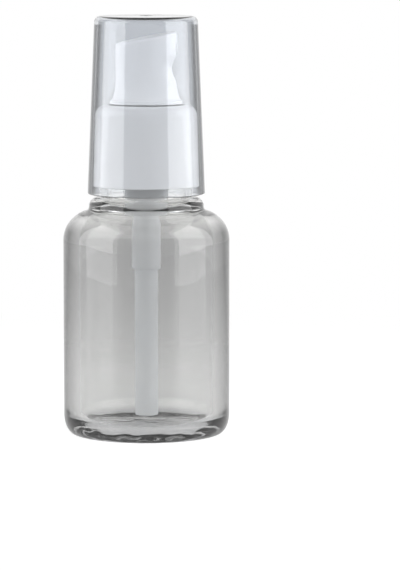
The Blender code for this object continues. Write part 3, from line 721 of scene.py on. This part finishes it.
def makeActuator(a, n):
    low = a["low"]
    flare = a["foot"] - a["head"]
    tall = a["height"] + a["head"] * math.tan(a["slope"]) + 1
    outline = [(0, low + tall), (a["head"], low + tall)]
    outline += denseLine((a["head"], low + a["waistHeight"] + a["waistReach"]),
                         (a["head"], low + a["band"] + a["flareHeight"] + 0.2), 0.4)
    flareCentre = (a["head"] + flare, low + a["band"] + a["flareHeight"])
    outline += arcPoints(flareCentre, flare, a["flareHeight"], 180, 262, 14)
    outline += softOutline([
        (a["foot"] - 0.1, low + a["band"] + 0.02), (a["foot"], low + a["band"], 0.15), (a["foot"], low, 0.2),
        (a["foot"] - a["wall"], low, 0.1), (a["foot"] - a["wall"], low + a["band"]),
        (a["head"] - a["wall"] - 0.3, low + a["band"] + a["flareHeight"] / 2, 0.5),
        (a["head"] - a["wall"] - 1.2, low + a["ceiling"], 0.5), (a["hub"], low + a["ceiling"], 0.4),
        (a["hub"], low + a["hubLow"], 0.15), (a["socket"], low + a["hubLow"], 0.15),
        (a["socket"], low + a["socketTop"], 0.1), (a["duct"], low + a["socketTop"]),
        (a["duct"], low + n["level"]), (0, low + n["level"]),
    ], closed=False)
    shape = turnedShape(outline, closed=False)

    # Slanted pad with a rounded rim
    middle = Vector((0, 0, (low + a["height"]) * mm))
    upwards = Vector((-math.sin(a["slope"]), 0, math.cos(a["slope"])))
    cut = bmesh.ops.bisect_plane(shape, geom=shape.verts[:] + shape.edges[:] + shape.faces[:],
                                 plane_co=middle, plane_no=upwards, clear_outer=True)
    rim = [e for e in cut["geom_cut"] if isinstance(e, bmesh.types.BMEdge)]
    bmesh.ops.contextual_create(shape, geom=rim)
    bmesh.ops.bevel(shape, geom=rim, offset=a["padRound"] * mm, offset_type="OFFSET", segments=5,
                    profile=0.5, affect="EDGES", material=-1)
    dish = max(shape.faces, key=lambda f: f.calc_area())
    for size, depth in a["dish"]:  # a shallow dish for a finger
        centre = dish.calc_center_median()
        grown = bmesh.ops.extrude_face_region(shape, geom=[dish])["geom"]
        bmesh.ops.delete(shape, geom=[dish], context="FACES_ONLY")
        dish = next(f for f in grown if isinstance(f, bmesh.types.BMFace))
        bmesh.ops.scale(shape, vec=(size, size, size), space=Matrix.Translation(-centre), verts=dish.verts[:])
        bmesh.ops.translate(shape, vec=-upwards * depth * mm, verts=dish.verts[:])

    # The side under the spout is drawn in
    for vert in shape.verts:
        height = vert.co.z / mm - low
        away = abs(height - a["waistHeight"]) / a["waistReach"]
        side = max(0, vert.co.x) / max(math.hypot(vert.co.x, vert.co.y), 0.1 * mm)
        if away < 1 and math.hypot(vert.co.x, vert.co.y) > 5 * mm:
            pull = a["waist"] * (1 - away * away) ** 2 * side ** 3
            vert.co.x -= pull * mm
    bmesh.ops.recalc_face_normals(shape, faces=shape.faces)
    piece = finishPiece(shape, "pressHead", whitePlastic, "actuator_body", "actuator")

    # Round seat for the nozzle, bored from the side
    bore = bmesh.new()
    boreRadius = (n["radius"] + n["play"]) * mm
    bmesh.ops.create_cone(bore, cap_ends=True, segments=64, radius1=boreRadius, radius2=boreRadius,
                          depth=n["seatLength"] * mm)
    bmesh.ops.rotate(bore, cent=(0, 0, 0), matrix=Matrix.Rotation(math.pi / 2, 3, "Y"), verts=bore.verts)
    reach = a["head"] - n["depth"] + n["seatLength"] / 2
    bmesh.ops.translate(bore, vec=(reach * mm, 0, (low + n["level"]) * mm), verts=bore.verts)
    cutterMesh = bpy.data.meshes.new("nozzleSeat")
    bore.to_mesh(cutterMesh)
    bore.free()
    cutter = bpy.data.objects.new("nozzleSeat", cutterMesh)
    bpy.context.scene.collection.objects.link(cutter)
    applyCut(piece, cutter)


def applyCut(piece, cutter):
    boolean = piece.modifiers.new("cut", "BOOLEAN")
    boolean.operation = "DIFFERENCE"
    boolean.solver = "EXACT"
    boolean.object = cutter
    graph = bpy.context.evaluated_depsgraph_get()
    mesh = bpy.data.meshes.new_from_object(piece.evaluated_get(graph))
    piece.modifiers.clear()
    piece.data = mesh
    mesh.shade_smooth()
    mesh.set_sharp_from_angle(angle=math.radians(40))
    bpy.data.objects.remove(cutter, do_unlink=True)


def makeNozzle(a, n):
    # A small cup whose closed face looks out to +X, with the orifice in its middle
    length = n["depth"] - 0.2 + n["stand"]
    outline = softOutline([
        (n["orifice"], length, 0.1), (n["radius"], length, 0.3), (n["radius"], 0, 0.1),
        (n["bore"], 0, 0.1), (n["bore"], length - n["face"], 0.1), (n["orifice"], length - n["face"]),
    ])
    shape = turnedShape(outline, smallSteps)
    bmesh.ops.rotate(shape, cent=(0, 0, 0), matrix=Matrix.Rotation(math.pi / 2, 3, "Y"), verts=shape.verts)
    inward = (a["head"] + n["stand"] - length) * mm
    bmesh.ops.translate(shape, vec=(inward, 0, (a["low"] + n["level"]) * mm), verts=shape.verts)
    finishPiece(shape, "nozzleInsert", whitePlastic, "actuator_body", "nozzle_insert")


makeActuator(actuator, nozzle)
makeNozzle(actuator, nozzle)


# Overcap: smoky clear cup with a soft top edge and a gate mark

overcap = {"wall": 0.9, "topWall": 0.8, "topRound": 1.6, "draft": 1.8, "gate": 1.3, "gateDepth": 0.25}


def makeOvercap(o):
    low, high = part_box("overcap")
    bottom, top = low.z / mm, high.z / mm
    outer = high.x / mm
    upper = outer - o["draft"]
    ceiling = top - o["topWall"]
    outline = softOutline([
        (0, top - o["gateDepth"]), (o["gate"], top - o["gateDepth"], 0.12), (o["gate"] + 0.3, top, 0.12),
        (upper, top, o["topRound"]), (outer, bottom, 0.3), (outer - o["wall"], bottom, 0.25),
        (upper - o["wall"], ceiling, 0.7), (0, ceiling),
    ], closed=False, stepAngle=7)
    finishPiece(turnedShape(outline, closed=False), "clearOvercap", smokePlastic, "overcap_body",
                "overcap")


makeOvercap(overcap)


# Inner pieces that keep their own solid take a moulded finish

innerFinishes = {
    "ball_retainer": whitePlastic, "plunger_tip": whitePlastic, "stem": whitePlastic,
    "chaplet": whitePlastic, "piston": milkyPlastic,
}
for nodeName, material in innerFinishes.items():
    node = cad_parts[nodeName]
    node.data.materials.clear()
    node.data.materials.append(material)
print("pump pieces ready")


# Studio: white table that keeps a soft shadow, two large side lights, even sky

studio = {
    "tableRadius": 0.58, "tableColour": (0.9, 0.9, 0.9, 1), "tableGlow": 0.56, "tableGloss": 0.08,
    "tableIor": 1.5, "shadowNear": 0.06, "shadowFar": 0.24,
    "skyDiffuse": 0.14, "darkSky": 0.38, "skyEdge": 0.60, "skyTop": 0.95,
    "leftRadiance": 2.2, "rightRadiance": 2.34,
    "lampAside": 0.60, "lampForward": -0.215, "lampHeight": 0.35, "lampWidth": 0.73, "lampTall": 1.10,
}


def makeTable(s):
    shape = bmesh.new()
    bmesh.ops.create_circle(shape, cap_ends=True, segments=128, radius=s["tableRadius"])
    bmesh.ops.translate(shape, vec=(0, 0, -0.02 * mm), verts=shape.verts)
    mesh = bpy.data.meshes.new("table")
    shape.to_mesh(mesh)
    shape.free()
    table = bpy.data.objects.new("table", mesh)
    bpy.context.scene.collection.objects.link(table)
    material = bpy.data.materials.new("tableWhite")
    material.use_nodes = True
    nodes, links = material.node_tree.nodes, material.node_tree.links
    nodes.remove(nodes["Principled BSDF"])
    output = nodes["Material Output"]
    rays = nodes.new("ShaderNodeLightPath")
    matte = nodes.new("ShaderNodeBsdfDiffuse")
    matte.inputs["Color"].default_value = s["tableColour"]
    glow = nodes.new("ShaderNodeEmission")
    glow.inputs["Strength"].default_value = s["tableGlow"]
    lit = nodes.new("ShaderNodeAddShader")
    white = nodes.new("ShaderNodeEmission")
    place = nodes.new("ShaderNodeTexCoord")
    reach = nodes.new("ShaderNodeVectorMath")
    reach.operation = "LENGTH"
    fade = nodes.new("ShaderNodeMapRange")
    fade.interpolation_type = "SMOOTHSTEP"
    fade.inputs["From Min"].default_value = s["shadowNear"]
    fade.inputs["From Max"].default_value = s["shadowFar"]
    shown = nodes.new("ShaderNodeMixShader")
    seen = nodes.new("ShaderNodeMath")
    seen.operation = "ADD"
    seenToo = nodes.new("ShaderNodeMath")
    seenToo.operation = "ADD"
    seenToo.use_clamp = True
    polish = nodes.new("ShaderNodeBsdfGlossy")  # the side lights mirror in the polished table
    polish.inputs["Roughness"].default_value = s["tableGloss"]
    edge = nodes.new("ShaderNodeFresnel")
    edge.inputs["IOR"].default_value = s["tableIor"]
    mirror = nodes.new("ShaderNodeMath")
    mirror.operation = "MULTIPLY"
    polished = nodes.new("ShaderNodeMixShader")
    final = nodes.new("ShaderNodeMixShader")
    links.new(place.outputs["Object"], reach.inputs[0])
    links.new(reach.outputs["Value"], fade.inputs["Value"])
    links.new(fade.outputs["Result"], shown.inputs[0])
    links.new(matte.outputs[0], lit.inputs[0])
    links.new(glow.outputs[0], lit.inputs[1])
    links.new(lit.outputs[0], shown.inputs[1])
    links.new(white.outputs[0], shown.inputs[2])
    links.new(rays.outputs["Is Camera Ray"], seen.inputs[0])
    links.new(rays.outputs["Is Glossy Ray"], seen.inputs[1])
    links.new(seen.outputs[0], seenToo.inputs[0])
    links.new(rays.outputs["Is Transmission Ray"], seenToo.inputs[1])
    links.new(seenToo.outputs[0], final.inputs[0])
    links.new(matte.outputs[0], final.inputs[1])
    links.new(edge.outputs[0], mirror.inputs[0])
    links.new(rays.outputs["Is Glossy Ray"], mirror.inputs[1])
    links.new(mirror.outputs[0], polished.inputs[0])
    links.new(shown.outputs[0], polished.inputs[1])
    links.new(polish.outputs[0], polished.inputs[2])
    links.new(polished.outputs[0], final.inputs[2])
    links.new(final.outputs[0], output.inputs["Surface"])
    mesh.materials.append(material)


def makeSky(s):
    world = bpy.data.worlds.new("studioSky")
    bpy.context.scene.world = world
    world.use_nodes = True
    nodes, links = world.node_tree.nodes, world.node_tree.links
    sky = nodes["Background"]
    rays = nodes.new("ShaderNodeLightPath")
    place = nodes.new("ShaderNodeTexCoord")
    axes = nodes.new("ShaderNodeSeparateXYZ")
    dome = nodes.new("ShaderNodeMapRange")  # white all round, dark straight overhead
    dome.interpolation_type = "SMOOTHSTEP"
    dome.inputs["From Min"].default_value = s["skyEdge"]
    dome.inputs["From Max"].default_value = s["skyTop"]
    dome.inputs["To Min"].default_value = 1.0
    dome.inputs["To Max"].default_value = s["darkSky"]
    seen = nodes.new("ShaderNodeMix")
    seen.inputs["B"].default_value = 1.0
    level = nodes.new("ShaderNodeMix")
    level.inputs["B"].default_value = s["skyDiffuse"]
    links.new(place.outputs["Generated"], axes.inputs[0])
    links.new(axes.outputs["Z"], dome.inputs["Value"])
    links.new(rays.outputs["Is Camera Ray"], seen.inputs["Factor"])
    links.new(dome.outputs["Result"], seen.inputs["A"])
    links.new(rays.outputs["Is Diffuse Ray"], level.inputs["Factor"])
    links.new(seen.outputs["Result"], level.inputs["A"])
    links.new(level.outputs["Result"], sky.inputs["Strength"])
    sky.inputs["Color"].default_value = (1, 1, 1, 1)


def makeLamp(name, side, radiance, s):
    data = bpy.data.lights.new(name, "AREA")
    data.shape = "RECTANGLE"
    data.size = s["lampWidth"]
    data.size_y = s["lampTall"]
    data.energy = radiance * math.pi * s["lampWidth"] * s["lampTall"]
    lamp = bpy.data.objects.new(name, data)
    bpy.context.scene.collection.objects.link(lamp)
    lamp.location = (side * s["lampAside"], s["lampForward"], s["lampHeight"])
    lamp.rotation_euler = (math.pi / 2, 0, side * math.pi / 2)
    lamp.visible_camera = False


makeTable(studio)
makeSky(studio)
makeLamp("leftSoftbox", -1, studio["leftRadiance"], studio)
makeLamp("rightSoftbox", 1, studio["rightRadiance"], studio)


# Camera: the photograph is 400 by 570 pixels, about 4 pixels a millimetre at the bottle

photo = {
    "width": 400, "height": 570, "bottleAxisX": 146.5, "targetY": 281.7, "targetHeight": 38.0,
    "pixelsPerMm": 3.997, "distance": 0.9, "elevation": math.radians(6.6), "sensor": 36.0,
}


def makeCamera(p):
    data = bpy.data.cameras.new("photoCamera")
    data.sensor_fit = "VERTICAL"
    data.sensor_height = p["sensor"]
    frameHeight = p["height"] / p["pixelsPerMm"] * mm
    data.lens = p["sensor"] * p["distance"] / frameHeight
    data.clip_start = 0.05
    data.clip_end = 20
    camera = bpy.data.objects.new("photoCamera", data)
    bpy.context.scene.collection.objects.link(camera)
    aside = (p["width"] / 2 - p["bottleAxisX"]) / p["pixelsPerMm"] * mm
    lower = (p["height"] / 2 - p["targetY"]) / p["pixelsPerMm"] / math.cos(p["elevation"])
    target = Vector((aside, 0, (p["targetHeight"] - lower) * mm))
    back = Vector((0, -math.cos(p["elevation"]), math.sin(p["elevation"])))
    camera.location = target + back * p["distance"]
    camera.rotation_euler = (-back).to_track_quat("-Z", "Y").to_euler()
    bpy.context.scene.camera = camera


makeCamera(photo)
bpy.context.scene.view_settings.view_transform = "Standard"
print("studio ready")
